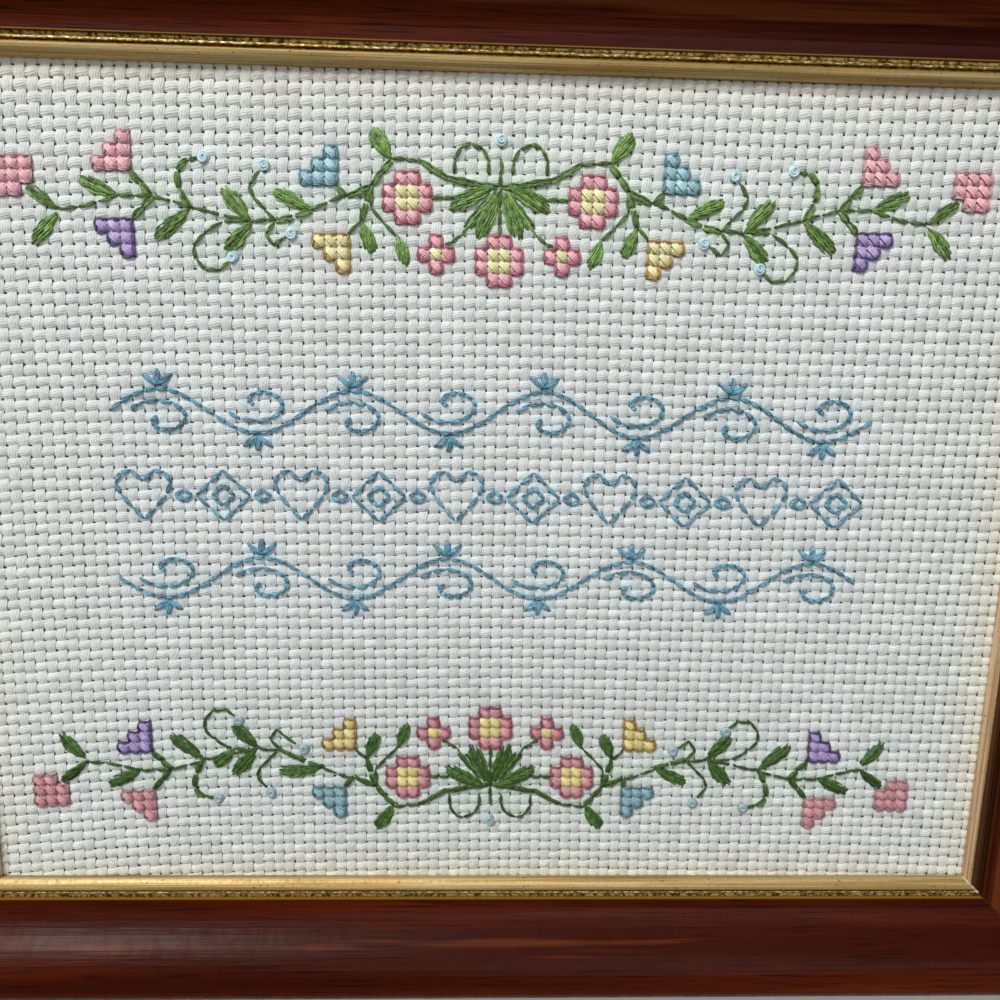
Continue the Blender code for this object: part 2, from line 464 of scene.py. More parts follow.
@dataclass(frozen=True)
class GoldLeaf(Finish):
    """Burnished leaf over a drawn moulding: fine lines along it, rubbed high places, painted shade in the
    furrow and painted glints on the bead, placed by the distance of the sight edge from the middle of the
    sign. On the left and right slips the band is painted lighter and its outer half and bead painted dark,
    as painted light and shade.
    """

    run: Run
    sight_edge: float
    gold: Paint = (0.36, 0.240, 0.082, 1.0)
    rubbed: Paint = (0.56, 0.425, 0.205, 1.0)
    # Painted glints on the bead.
    glint: Paint = (0.85, 0.72, 0.46, 1.0)
    dark: Paint = (0.060, 0.035, 0.008, 1.0)
    olive: Paint = (0.285, 0.165, 0.014, 1.0)
    coppery: Paint = (0.52, 0.33, 0.12, 1.0)
    # Painted light: this factor brightens the left and right slips.
    painted_light_up: Paint = (1.55, 1.50, 2.10, 1.0)
    # Painted shade in the furrow of the top and bottom slips, flecked.
    shade_low: Paint = (0.050, 0.025, 0.002, 1.0)
    shade_high: Paint = (0.230, 0.140, 0.020, 1.0)
    # Painted shade on the outer half of the left and right slips, and on their bead.
    side_shade: Paint = (0.066, 0.017, 0.001, 1.0)
    side_bead_shade: Paint = (0.046, 0.008, 0.001, 1.0)
    # Where the painted shade begins: on the top and bottom slips, and on the left and right ones.
    bright_across: float = 1.66 * MM
    bright_up: float = 0.90 * MM
    furrow_end: float = 2.22 * MM

    def lay_on(self, nodes: Nodes) -> None:
        """Gold for a slip that runs one way."""
        place = nodes.place()
        outwards = nodes.outwards(self.run, self.sight_edge)
        lines = nodes.noise(nodes.along(self.run, (25.0, 3000.0, 1800.0)), 1.0, 3.0, 0.6)
        flecks_and_glints = nodes.noise(nodes.along(self.run, (1300.0, 3600.0, 1800.0)), 1.0, 3.0, 0.65)
        pits = nodes.noise(place, 1500.0, 2.0, 0.7)
        cloud = nodes.noise(place, 160.0, 3.0)
        base = nodes.over(self.gold, self.rubbed, lines, 0.40, 0.60)
        base = nodes.over(base, self.coppery, cloud, 0.45, 0.75, 0.45)
        base = nodes.over(base, self.dark, pits, 0.64, 0.74, 0.8)
        # Painted light on the left and right slips.
        if self.run is Run.UP:
            base = nodes.mix(1.0, base, self.painted_light_up, "MULTIPLY")
        broad = self.bright_across if self.run is Run.ACROSS else self.bright_up
        # Painted shade past the bright band, with a ragged edge.
        shade_edge = nodes.math("MULTIPLY_ADD", flecks_and_glints, 0.25 * MM, outwards)
        shade = self.side_shade
        if self.run is Run.ACROSS:
            shade = nodes.over(self.shade_low, self.shade_high, flecks_and_glints, 0.40, 0.62)
        base = nodes.over(base, shade, shade_edge, broad, broad + 0.30 * MM, 0.95)
        beyond = nodes.over(self.olive, self.gold, lines, 0.4, 0.7, 0.6)
        # Painted glints and dark flecks of lost leaf on the bead.
        beyond = nodes.over(beyond, self.glint, flecks_and_glints, 0.53, 0.62, 0.9)
        beyond = nodes.over(beyond, self.dark, flecks_and_glints, 0.45, 0.38, 0.8)
        # On the left and right slips the bead is painted dark as shade.
        if self.run is Run.UP:
            beyond = self.side_bead_shade
        past_furrow = nodes.spread(outwards, self.furrow_end, self.furrow_end + 0.12 * MM, 0.0, 1.0)
        base = nodes.mix(past_furrow, base, beyond)
        relief = nodes.bump(lines, 0.00006, 0.6)
        relief = nodes.bump(pits, 0.00008, 0.5, relief)
        nodes.shade(Base_Color=base, Roughness=nodes.spread(pits, 0.3, 0.7, 0.50, 0.64), Metallic=0.72,
                    Normal=relief, Specular_IOR_Level=0.12)


@dataclass(frozen=True)
class GreyBoard(Finish):
    """Pulp board with flecks, behind the cloth."""

    colour: Paint = (0.36, 0.30, 0.22, 1.0)
    fleck: Paint = (0.22, 0.17, 0.12, 1.0)
    pale: Paint = (0.45, 0.39, 0.30, 1.0)

    def lay_on(self, nodes: Nodes) -> None:
        """Rough board."""
        place = nodes.place()
        fleck = nodes.noise(place, 900.0, 4.0, 0.7)
        cloud = nodes.noise(place, 30.0, 2.0)
        base = nodes.over(self.colour, self.fleck, fleck, 0.35, 0.7)
        base = nodes.over(base, self.pale, cloud, 0.4, 0.7, 0.35)
        nodes.shade(Base_Color=base, Roughness=0.9, Normal=nodes.bump(fleck, 0.0002, 0.6))


@dataclass(frozen=True)
class Cloth:
    """The stretched cloth's size and shape, which its weave and its stitches share."""

    block: float = 1.814 * MM
    half_width: float = 88.725 * MM
    half_height: float = 69.675 * MM
    face: float = 7.6 * MM
    crown: float = 0.45 * MM
    ripple: float = 0.08 * MM
    pull_right: tuple[float, ...] = (
        -0.206, -0.287, 0.322, 0.417, -0.679, 0.054, 0.275, -0.012, 0.151, 0.840)
    pull_up: tuple[float, ...] = (
        -0.105, -0.267, 0.141, 0.299, -0.026, 0.064, 0.235, -0.377, 0.887, 0.349)

    def height(self, x: np.ndarray, y: np.ndarray) -> np.ndarray:
        """Height of the cloth's face: a crown held flat at the edges by fourth powers, with a slight
        ripple on it.

        Args:
            x: places across, in metres.
            y: places up, in metres.

        Returns:
            Heights in metres.
        """
        across = np.clip(x / self.half_width, -1, 1)
        up = np.clip(y / self.half_height, -1, 1)
        hold = (1 - across**4) * (1 - up**4)
        rippled = self.ripple * np.sin(5.1 * across + 0.6) * np.sin(3.7 * up - 0.4)
        return self.face + hold * (self.crown + rippled)

    def drift(self, u: np.ndarray, w: np.ndarray) -> tuple[np.ndarray, np.ndarray]:
        """How far the lacing has pulled the weave out of true: slow sines of the place, and for each
        direction a sum of the products of powers of u and w up to the third, under a block at most.

        Args:
            u: blocks across.
            w: blocks up.

        Returns:
            Blocks to add to u and to w.
        """
        to_right = 0.10 * np.sin(w / 9.0 + 0.7) + 0.05 * np.sin(u / 6.1 + w / 7.3) - 0.30
        bowed = np.where(w > 0, 0.24 * np.cos(u / 14.0), -0.12) * w / 30
        upward = bowed + 0.05 * np.sin(u / 5.3 + 1.1) + 0.04 * np.sin(w / 4.1 - u / 9.0) + 0.17
        across = np.clip(u / 48.0, -1, 1)
        up = np.clip(w / 38.0, -1, 0.9)
        powers = [across**i * up**j for i in range(4) for j in range(4 - i)]
        to_right = to_right + sum(pull * power for pull, power in zip(self.pull_right, powers))
        upward = upward + sum(pull * power for pull, power in zip(self.pull_up, powers))
        return to_right, upward

    def place(self, u: np.ndarray, w: np.ndarray, lift: np.ndarray) -> np.ndarray:
        """Places on the cloth in metres.

        Args:
            u: blocks across from the middle.
            w: blocks up from the middle.
            lift: height above the cloth's face, in metres.

        Returns:
            X, Y and Z along a new last axis.
        """
        to_right, upward = self.drift(u, w)
        x = np.clip((u + to_right) * self.block, -self.half_width, self.half_width)
        y = np.clip((w + upward) * self.block, -self.half_height, self.half_height)
        return np.stack([x, y, self.height(x, y) + lift], axis=-1)


@dataclass(frozen=True)
class Stitches:
    """Straight stitches of one floss, as rows of numbers."""

    start: np.ndarray
    end: np.ndarray
    lift: np.ndarray
    bow: np.ndarray
    tone: np.ndarray

    @staticmethod
    def make(start: object, end: object, lift: float | np.ndarray = 0.30, bow: float | np.ndarray = 0.0,
             seed: int = 1, vary: float = 0.08) -> "Stitches":
        """Stitches between pairs of points.

        Args:
            start: where each comes up, in blocks, as n rows of u and w.
            end: where each goes down.
            lift: height of the thread's middle over the cloth, in millimetres.
            bow: how far the middle is pulled to its left, in blocks.
            seed: for the small differences of tone.
            vary: the largest difference of tone.

        Returns:
            The stitches.
        """
        first = np.asarray(start, dtype=float).reshape(-1, 2)
        last = np.asarray(end, dtype=float).reshape(-1, 2)
        count = len(first)
        return Stitches(first, last, np.broadcast_to(lift, count) * MM, np.broadcast_to(bow, count) * 1.0,
                        np.repeat(1.0 + wander(count, seed, vary)[:, None], 3, axis=1))

    @staticmethod
    def join(parts: list["Stitches"]) -> "Stitches":
        """Several sets as one."""
        return Stitches(*(np.concatenate([getattr(part, row) for part in parts])
                          for row in ("start", "end", "lift", "bow", "tone")))

    def dimmed(self, share: float) -> "Stitches":
        """The same stitches in a deeper tone."""
        return Stitches(self.start, self.end, self.lift, self.bow, self.tone * share)

    def turned(self, across: int, up: int) -> "Stitches":
        """The same stitches mirrored about the sign's middle.

        Args:
            across: 1, or -1 to swap left and right.
            up: 1, or -1 to swap top and bottom.

        Returns:
            The mirrored stitches.
        """
        flip = np.array([across, up], dtype=float)
        return Stitches(self.start * flip, self.end * flip, self.lift, self.bow * across * up, self.tone)


@dataclass
class Thread:
    """A stranded thread laid in stitches: its strands, their thickness and their twist."""

    cloth: Cloth
    strands: int = 2
    radius: float = 0.185 * MM
    apart: float = 0.165 * MM
    twist: float = 0.5
    sink: float = 0.42 * MM
    flat: float = 5.0
    # foot, flank: the tone that painted shade leaves at a strand's feet and on its underside
    foot: float = 0.70
    flank: float = 0.75
    laid_flat: bool = False
    along: int = 9
    around: int = 6

    def lay(self, stitches: Stitches, seed: int = 3) -> Grid:
        """Tubes along the stitches: a straight run in the cloth's plane, arched by a flat-topped curve,
        with the strands turning about it, and a ring of points about each strand that narrows where it
        enters the cloth. Its tone is darkened toward its feet and down its flanks to its underside, as
        painted shade.

        Args:
            stitches: the stitches.
            seed: for the small differences between strands.

        Returns:
            The strands' points and faces.
        """
        count = len(stitches.start)
        run = np.linspace(0, 1, self.along)
        run = 0.5 - 0.5 * np.cos(np.pi * run) * (0.82 + 0.18 * np.abs(np.cos(np.pi * run)))
        arch = (1 - np.abs(2 * run - 1) ** self.flat) ** 0.6
        narrow = 0.62 + 0.38 * (1 - np.abs(2 * run - 1) ** 6.0)
        turn = np.linspace(0, 2 * np.pi, self.around, endpoint=False)
        step = stitches.end - stitches.start
        length = np.linalg.norm(step, axis=1)
        along = step / length[:, None]
        aside = np.stack([-along[:, 1], along[:, 0]], axis=1)
        phase = wander(count, seed, np.pi)
        faces, caps = tubes(count, self.along, self.around)
        parts = []
        for strand in range(self.strands):
            angle = (phase[:, None] * 0.25 + 2 * np.pi * strand / self.strands
                     + 2 * np.pi * self.twist * length[:, None] * (run[None, :] - 0.5))
            if self.laid_flat:
                seat = strand - (self.strands - 1) / 2
                sideways = np.broadcast_to(self.apart * seat / self.cloth.block, angle.shape)
                upward = -0.16 * self.apart * seat**2 + 0.05 * self.apart * np.sin(angle + 2 * seat)
            else:
                sideways = self.apart * np.cos(angle) / self.cloth.block
                upward = 0.55 * self.apart * np.sin(angle)
            bowed = stitches.bow[:, None] * (1 - (2 * run[None, :] - 1) ** 2)
            centre = (stitches.start[:, None, :] + step[:, None, :] * run[None, :, None]
                      + aside[:, None, :] * (sideways * arch[None, :] + bowed)[:, :, None])
            lift = (stitches.lift[:, None] + self.sink + upward) * arch[None, :] - self.sink
            ring_side = self.radius * narrow[None, :, None] * np.cos(turn)[None, None, :] / self.cloth.block
            ring_up = self.radius * narrow[None, :, None] * np.sin(turn)[None, None, :]
            onward = np.gradient(run)[None, :] * length[:, None] * self.cloth.block
            tilt = np.arctan(np.gradient(lift, axis=1) / onward)[:, :, None]
            back = ring_up * np.sin(tilt) / self.cloth.block
            u, w = (centre[:, :, None, axis] + aside[:, None, None, axis] * ring_side
                    - along[:, None, None, axis] * back for axis in (0, 1))
            points = self.cloth.place(u, w, lift[:, :, None] + ring_up * np.cos(tilt))
            uv = np.empty((count, self.along, self.around, 2))
            uv[..., 0] = length[:, None, None] * run[None, :, None] + phase[:, None, None]
            uv[..., 1] = turn[None, None, :] / (2 * np.pi)
            # Painted shade: darker toward the feet and round the underside of each strand.
            deep = ((self.foot + (1 - self.foot) * arch)[:, None]
                    * (0.5 + 0.5 * self.flank + (0.5 - 0.5 * self.flank) * np.sin(turn))[None, :])
            tone = stitches.tone[:, None, None, :] * deep[None, ..., None]
            parts.append(Grid(points.reshape(-1, 3), faces[:, ::-1], uv.reshape(-1, 2), tone.reshape(-1, 3),
                              (caps[:, ::-1],)))
        return Grid.join(parts)


@dataclass
class Knot:
    """A French knot: thread wound twice on itself and drawn down."""

    cloth: Cloth
    turns: float = 2.3
    outer: float = 0.46
    inner: float = 0.05
    radius: float = 0.26 * MM
    along: int = 44
    around: int = 8

    def lay(self, spots: np.ndarray, tone: np.ndarray) -> Grid:
        """Tubes along spirals that close in as they rise.

        Args:
            spots: the knots' places in blocks, as n rows of u and w.
            tone: how light each one is.

        Returns:
            The knots' points and faces.
        """
        count = len(spots)
        run = np.linspace(0, 1, self.along)
        swing = wander(count, 77, np.pi)[:, None] + 2 * np.pi * self.turns * run[None, :]
        reach = (self.outer + (self.inner - self.outer) * run**1.2)[None, :]
        reach = reach * (1 + 0.06 * np.sin(swing * 1.7))
        rise = (0.06 + 0.36 * np.sin(np.pi * np.clip(run * 1.25, 0, 1) * 0.72))[None, :] * MM
        turn = np.linspace(0, 2 * np.pi, self.around, endpoint=False)[None, None, :]
        thick = self.radius * (0.75 + 0.25 * np.sin(np.pi * run))[None, :, None]
        radial = reach[:, :, None] + thick * np.cos(turn) / self.cloth.block
        u = spots[:, 0, None, None] + radial * np.cos(swing)[:, :, None]
        w = spots[:, 1, None, None] + radial * np.sin(swing)[:, :, None]
        points = self.cloth.place(u, w, rise[:, :, None] + thick * np.sin(turn))
        faces, caps = tubes(count, self.along, self.around)
        uv = np.empty((count, self.along, self.around, 2))
        uv[..., 0] = run[None, :, None] * 4.0
        uv[..., 1] = turn / (2 * np.pi)
        tones = np.repeat(np.repeat(tone, self.along * self.around)[:, None], 3, axis=1)
        return Grid(points.reshape(-1, 3), faces, uv.reshape(-1, 2), tones, (caps,))


LEAF = Floss("floss_leaf_green", (0.007, 0.046, 0.005), (0.360, 0.620, 0.165), (0.80, 1.0, 0.77), 0.30)
ROSE = Floss("floss_rose", (0.830, 0.265, 0.325), (1.0, 0.690, 0.725), (1.0, 0.92, 0.93))
ROSE_LINE = Floss("floss_deep_rose", (0.340, 0.045, 0.095), (0.720, 0.250, 0.330), (1.0, 0.93, 0.94))
BUTTER = Floss("floss_butter", (0.900, 0.800, 0.300), (1.000, 1.000, 0.640), (1.0, 0.98, 0.88))
HONEY = Floss("floss_honey_brown", (0.380, 0.215, 0.040), (0.700, 0.470, 0.140), (1.0, 0.97, 0.88))
SKY = Floss("floss_sky", (0.130, 0.400, 0.490), (0.640, 0.890, 0.940), (0.86, 0.98, 1.0))
TEAL = Floss("floss_teal", (0.070, 0.220, 0.280), (0.260, 0.500, 0.570), (0.86, 0.98, 1.0))
LILAC = Floss("floss_lilac", (0.290, 0.185, 0.510), (0.700, 0.580, 0.900), (0.97, 0.94, 1.0))
PLUM = Floss("floss_plum", (0.045, 0.025, 0.130), (0.190, 0.120, 0.340), (0.97, 0.94, 1.0))
MIST = Floss("floss_mist_blue", (0.240, 0.490, 0.570), (0.760, 0.960, 1.0), (0.90, 0.99, 1.0))
LAKE = Floss("floss_lake_blue", (0.008, 0.066, 0.125), (0.275, 0.620, 0.800), (0.80, 0.94, 1.0), 0.45)
# Painted shade on the lower garland, darker and a little deeper in hue below the middle: each factor
# multiplies red, green and blue there.
LOWER_SHADE = {ROSE: (0.71, 0.60, 0.61), BUTTER: (0.82, 0.74, 0.52), SKY: (0.60, 0.71, 0.72),
             LILAC: (0.80, 0.78, 0.86), LEAF: (0.36, 0.46, 0.34)}
LOWER_OUTLINE_SHADE = (0.66, 0.62, 0.62)
LOWER_STEM_SHADE = (0.44, 0.50, 0.42)
LOWER_KNOT_SHADE = 0.62


class Chart:
    """The stitch charts, drawn on blocks for one quarter of the sign, and the middle bands."""

    def __init__(self) -> None:
        """Starts with no stitches."""
        self.crosses: dict[Floss, list[Spot]] = {}
        self.outlines: dict[Floss, list[Stitches]] = {}
        self.stems: list[Stitches] = []
        self.leaves: list[Stitches] = []
        self.knots: list[Spot] = []
        self.bands: list[Stitches] = []

    def fill(self, floss: Floss, left: float, low: float, rows: list[str], mark: str = "x") -> None:
        """Crosses for each marked block of a charted shape.

        Args:
            floss: their colour.
            left: the shape's left edge, in blocks.
            low: its lower edge.
            rows: the chart from the top row down, one letter for each block.
            mark: the letter that stands for this floss.
        """
        for up, row in enumerate(reversed(rows)):
            for across, letter in enumerate(row):
                if letter == mark:
                    self.crosses.setdefault(floss, []).append((left + across, low + up))

    def edge(self, floss: Floss, left: float, low: float, rows: list[str], marks: str) -> None:
        """Backstitches along every side of a charted shape where it meets bare cloth.

        Args:
            floss: their colour.
            left: the shape's left edge, in blocks.
            low: its lower edge.
            rows: the chart from the top row down.
            marks: the letters that count as the shape.
        """
        taken = set()
        for y, row in enumerate(reversed(rows)):
            taken.update((x, y) for x, letter in enumerate(row) if letter in marks)
        beside = {(0, -1): (0, 0, 1, 0), (0, 1): (0, 1, 1, 1), (-1, 0): (0, 0, 0, 1), (1, 0): (1, 0, 1, 1)}
        sides = []
        for x, y in sorted(taken):
            for (right, up), (x1, y1, x2, y2) in beside.items():
                if (x + right, y + up) not in taken:
                    sides.append((left + x + x1, low + y + y1, left + x + x2, low + y + y2))
        table = np.array(sides, dtype=float)
        made = Stitches.make(table[:, :2], table[:, 2:], 0.40, 0.0, seed=len(sides), vary=0.18)
        made = made.dimmed(0.74) if floss is ROSE else made
        self.outlines.setdefault(floss, []).append(made)

    def motif(self, kind: Motif, left: float, low: float, fill: Floss, line: Floss,
              upside: bool = False) -> None:
        """One charted flower, fan or bud, filled and outlined.

        Args:
            kind: which shape.
            left: its left edge, in blocks.
            low: its lower edge.
            fill: the floss of its crosses.
            line: the floss of its outline.
            upside: turns a fan or bud over.
        """
        rows = {
            Motif.ROUND_FLOWER: [".xx.", "xoox", "xoox", ".xx."],
            Motif.SMALL_FLOWER: [".x.", "xox", ".x."],
            Motif.FAN: ["..x", ".xx", "xxx"],
            Motif.BUD: ["xxx", "xxx", "xx."],
        }[kind]
        if upside:
            rows = rows[::-1]
        self.fill(fill, left, low, rows)
        self.fill(BUTTER, left, low, rows, "o")
        self.edge(line, left, low, rows, "xo")

    def stem(self, *points: Spot, double: bool = False) -> None:
        """Backstitches from point to point.

        Args:
            points: where the needle goes in, in blocks.
            double: lays a second line of thread beside the first.
        """
        line = np.array(points, dtype=float)
        seed = int(abs(line).sum() * 10)
        bow = wander(len(line) - 1, seed, 0.05)
        self.stems.append(Stitches.make(line[:-1], line[1:], 0.30, bow, seed, 0.20).dimmed(0.56))
        if double:
            step = line[1:] - line[:-1]
            aside = np.stack([-step[:, 1], step[:, 0]], axis=1)
            aside = aside / np.linalg.norm(step, axis=1)[:, None] * 0.26
            second = Stitches.make(line[:-1] + aside, line[1:] + aside * 0.7, 0.36, 0.03, seed + 1, 0.24)
            self.stems.append(second.dimmed(0.85))

    def leaf(self, base: Spot, tip: Spot, width: float, threads: int) -> None:
        """Long stitches side by side from a narrow base to a rounded tip.

        Args:
            base: where the leaf leaves its stem, in blocks.
            tip: the far end of its middle stitch.
            width: its greatest width.
            threads: how many stitches.
        """
        root = np.array(base, dtype=float)
        axis = np.array(tip, dtype=float) - root
        length = float(np.linalg.norm(axis))
        axis = axis / length
        aside = np.array([-axis[1], axis[0]])
        seed = int(abs(root).sum() * 10)
        share = np.linspace(-1, 1, threads) + wander(threads, seed, 0.10)
        start = root + aside * (0.14 * width * share)[:, None]
        start = start + axis * (0.14 * length * np.abs(share))[:, None]
        reach = length * (1 - 0.15 * share**2) + wander(threads, seed + 1, 0.14)
        end = root + aside * (0.40 * width * share)[:, None] + axis * reach[:, None]
        lift = 0.24 + 0.16 * (1 - share**2) + wander(threads, seed + 2, 0.11)
        self.leaves.append(Stitches.make(start, end, lift, 0.12 * width * share, seed + 3, 0.46))

    def knot(self, u: float, w: float) -> None:
        """Marks a French knot."""
        self.knots.append((u, w))

    def draw_garland(self) -> None:
        """Charts the left half of the upper garland. The stitcher mirrors it for the other three
        quarters.
        """
        self.motif(Motif.ROUND_FLOWER, -10, 24.5, ROSE, ROSE_LINE)
        self.motif(Motif.SMALL_FLOWER, -7, 20.5, ROSE, ROSE_LINE)
        self.motif(Motif.FAN, -16, 20.5, BUTTER, HONEY, upside=True)
        self.motif(Motif.FAN, -17, 27.5, SKY, TEAL)
        self.motif(Motif.FAN, -34, 28.5, ROSE, ROSE)
        self.motif(Motif.FAN, -34, 21.5, LILAC, PLUM, upside=True)
        self.motif(Motif.BUD, -42, 26.5, ROSE, ROSE)
        self.stem((-4, 28.5), (-4, 29.5), (-3.4, 30.5), (-2.6, 30.8), (-1.6, 30.4), (-1.1, 29.5),
                  (-1.1, 28.5))
        self.stem((-0.1, 27.5), (-2.4, 27.75), double=True)
        self.stem((-1.9, 27.7), (-4.6, 28.15), double=True)
        self.stem((-4.1, 27.95), (-6.9, 29.5), double=True)
        self.stem((-6.8, 29.4), (-8.1, 29.5), (-9.4, 29.6))
        self.leaf((-9.3, 29.4), (-11.1, 32.0), 1.30, 6)
        self.stem((-9.4, 29.5), (-10.3, 28.6), (-11.1, 27.5), double=True)
        self.stem((-11.1, 27.5), (-13.1, 26.6), double=True)
        self.stem((-13.1, 26.6), (-14.0, 27.5), double=True)
        self.stem((-11.2, 27.5), (-11.6, 26.1), (-12.0, 24.6), double=True)
        self.stem((-12.0, 24.6), (-13.0, 23.6))
        self.leaf((-11.9, 24.6), (-10.9, 21.9), 1.10, 5)
        self.stem((-11.0, 27.4), (-11.1, 25.7), (-10.1, 24.6), (-9.0, 23.5))
        self.leaf((-8.9, 23.6), (-8.0, 21.0), 1.00, 5)
        self.stem((-13.2, 26.6), (-14.7, 26.1), (-16.2, 25.5))
        self.leaf((-16.0, 25.4), (-19.4, 27.0), 1.15, 5)
        self.stem((-16.1, 25.5), (-17.6, 25.0), (-19.2, 24.6), double=True)
        self.stem((-19.1, 24.5), (-20.0, 25.4), (-21.0, 26.4), (-21.3, 27.3), (-20.4, 28.5))
        self.knot(-20.0, 29.0)
        self.stem((-19.2, 24.4), (-20.0, 23.5), (-19.3, 22.5), (-18.2, 23.3))
        self.knot(-17.8, 23.5)
        self.stem((-19.2, 24.6), (-21.2, 24.4))
        self.leaf((-21.1, 24.3), (-23.6, 27.2), 1.30, 6)
        self.leaf((-21.0, 24.5), (-23.5, 21.7), 1.25, 6)
        self.stem((-21.2, 24.6), (-23.5, 24.4), (-25.1, 23.4), (-26.0, 22.4), (-25.9, 21.4), (-25.2, 20.5),
                  (-23.9, 20.4), (-23.1, 21.1))
        self.knot(-22.8, 21.5)
        self.stem((-21.3, 24.4), (-23.6, 24.9), (-26.1, 25.5))
        self.leaf((-26.0, 25.6), (-29.4, 22.7), 1.15, 5)
        self.stem((-26.1, 25.4), (-26.9, 27.0), (-27.1, 28.4), (-26.2, 29.3), double=True)
        self.stem((-26.2, 29.3), (-25.3, 29.5))
        self.knot(-25.0, 29.5)
        self.stem((-26.1, 25.5), (-27.7, 26.0), (-29.4, 26.5))
        self.stem((-29.3, 26.5), (-30.1, 27.5), (-31.0, 28.5), double=True)
        self.stem((-29.3, 26.5), (-30.2, 25.5), (-31.0, 24.6), double=True)
        self.stem((-29.3, 26.5), (-30.7, 26.4), (-32.1, 26.5))
        self.leaf((-32.0, 26.4), (-35.3, 27.8), 1.20, 5)
        self.stem((-32.1, 26.4), (-33.8, 25.9), (-35.4, 25.5), (-37.0, 25.3))
        self.leaf((-37.0, 25.2), (-39.4, 22.5), 1.15, 5)
        self.leaf((-36.9, 25.2), (-39.7, 27.4), 0.85, 4)
        self.leaf((-0.2, 27.7), (-4.5, 25.6), 1.30, 6)
        self.leaf((-0.2, 27.4), (-3.4, 23.4), 0.70, 3)
        self.leaf((-0.1, 27.4), (-1.9, 23.1), 1.30, 6)
        self.stem((-3.3, 23.6), (-4.1, 23.0), (-4.7, 22.8))
        self.stem((-6.0, 26.5), (-5.0, 26.5), (-4.0, 26.5))

    def draw_middle(self) -> None:
        """Charts what stands on the garlands' middle line: a flower, a stem and a knot."""
        self.motif(Motif.ROUND_FLOWER, -2, 19.5, ROSE, ROSE_LINE)
        self.stem((0, 29.5), (0, 28.5), (0, 27.5))
        self.stem((0, 27.6), (0, 25.8), (0, 24.5), (0, 23.5))
        self.knot(0.0, 31.1)

    def band_line(self, points: np.ndarray) -> None:
        """Backstitches of lake blue along a line of points.

        Args:
            points: n rows of u and w, in blocks.
        """
        seed = int(abs(points).sum() * 3) % 9973
        self.bands.append(Stitches.make(points[:-1], points[1:], 0.34, 0.0, seed, 0.26))

    def draw_scroll(self, level: float, way: float) -> None:
        """Charts one running scroll: a sine wave, a spiral that springs from it into each hollow, and a
        three-leaved sprig on each crest.

        Args:
            level: its middle line, in blocks up.
            way: 1, or -1 to start downwards.
        """
        period = 8.5
        steps = np.arange(-34, 34.5, 1.0)
        self.band_line(np.stack([steps, level + way * 1.9 * np.sin(steps * np.pi / period)], axis=1))
        for crest in range(-4, 4):
            middle = (crest + 0.5) * period
            side = way * (1.0 if crest % 2 == 0 else -1.0)
            turn = np.radians(np.linspace(152, -215, 14))
            reach = np.linspace(3.1, 0.55, 14)
            spiral = np.stack([middle + 0.25 + reach * np.cos(turn),
                               level - side * 0.8 + side * 0.62 * reach * np.sin(turn)], axis=1)
            self.band_line(spiral)
            foot = np.array([middle, level + side * 2.1])
            for lean in (-1.25, 0.0, 1.25):
                tip = foot + (lean, side * (1.5 - 0.35 * abs(lean)))
                for shift in (-0.13, 0.13):
                    self.band_line(np.stack([foot + (shift, 0), tip + (shift * 0.5, 0)]))

    def draw_bands(self) -> None:
        """Charts three bands of plain ornament: two running scrolls, and hearts and lozenges between
        them.
        """
        self.draw_scroll(8.6, 1.0)
        self.draw_scroll(-6.6, -1.0)
        heart = np.array([[0, -2.2], [1.0, -1.1], [2.0, 0.1], [2.4, 1.2], [1.9, 2.1], [1.0, 2.3], [0, 1.3]])
        lozenge = np.array([[0, -2.3], [1.2, -1.15], [2.4, 0], [1.2, 1.15], [0, 2.3]])
        small = lozenge * 0.42
        for number, middle in enumerate(np.linspace(-31.5, 31.5, 10)):
            shapes = (heart,) if number % 2 == 0 else (lozenge, small)
            for shape in shapes:
                self.band_line(shape + (middle, 1.0))
                self.band_line(shape * (-1, 1) + (middle, 1.0))
            if number < 9:
                self.band_line(np.array([[2.75, 0.0], [3.5, 0.55], [4.25, 0.0]]) + (middle, 1.0))
                self.band_line(np.array([[2.75, 0.0], [3.5, -0.55], [4.25, 0.0]]) + (middle, 1.0))


@dataclass
class FlossHalo:
    """How far the floss colours have tinted the cloth beside them, kept on a fine lattice of half blocks.
    """

    step: float = 0.5
    reach: float = 0.75
    half: Spot = (52.0, 42.0)
    tint: np.ndarray = field(init=False)

    def __post_init__(self) -> None:
        """Starts with an untinted cloth."""
        shape = (int(2 * self.half[0] / self.step), int(2 * self.half[1] / self.step))
        self.tint = np.zeros((*shape, 3))

    def spread_tint(self, spots: np.ndarray, colour: Colour, weight: float) -> None:
        """Adds the tint of stitches at some places: each is spread as a bell curve of the lattice.

        Args:
            spots: n rows of u and w, in blocks.
            colour: what the cloth is multiplied by at full strength.
            weight: the strength of one spot.
        """
        layer = np.zeros(self.tint.shape[:2])
        index = ((spots + self.half) / self.step).astype(int)
        np.add.at(layer, (index[:, 0], index[:, 1]), weight)
        offsets = np.arange(-6, 7) * self.step
        bell = np.exp(-0.5 * (offsets / self.reach) ** 2)
        bell = bell / bell.sum()
        for axis in (0, 1):
            layer = np.apply_along_axis(np.convolve, axis, layer, bell, "same")
        self.tint += (1 - np.exp(-layer))[:, :, None] * np.log(np.array(colour))

    def at(self, u: np.ndarray, w: np.ndarray) -> np.ndarray:
        """The tint at some places.

        Args:
            u: blocks across.
            w: blocks up.

        Returns:
            Red, green and blue factors along a new last axis.
        """
        row = np.clip(((u + self.half[0]) / self.step).astype(int), 0, self.tint.shape[0] - 1)
        column = np.clip(((w + self.half[1]) / self.step).astype(int), 0, self.tint.shape[1] - 1)
        return np.exp(self.tint[row, column])


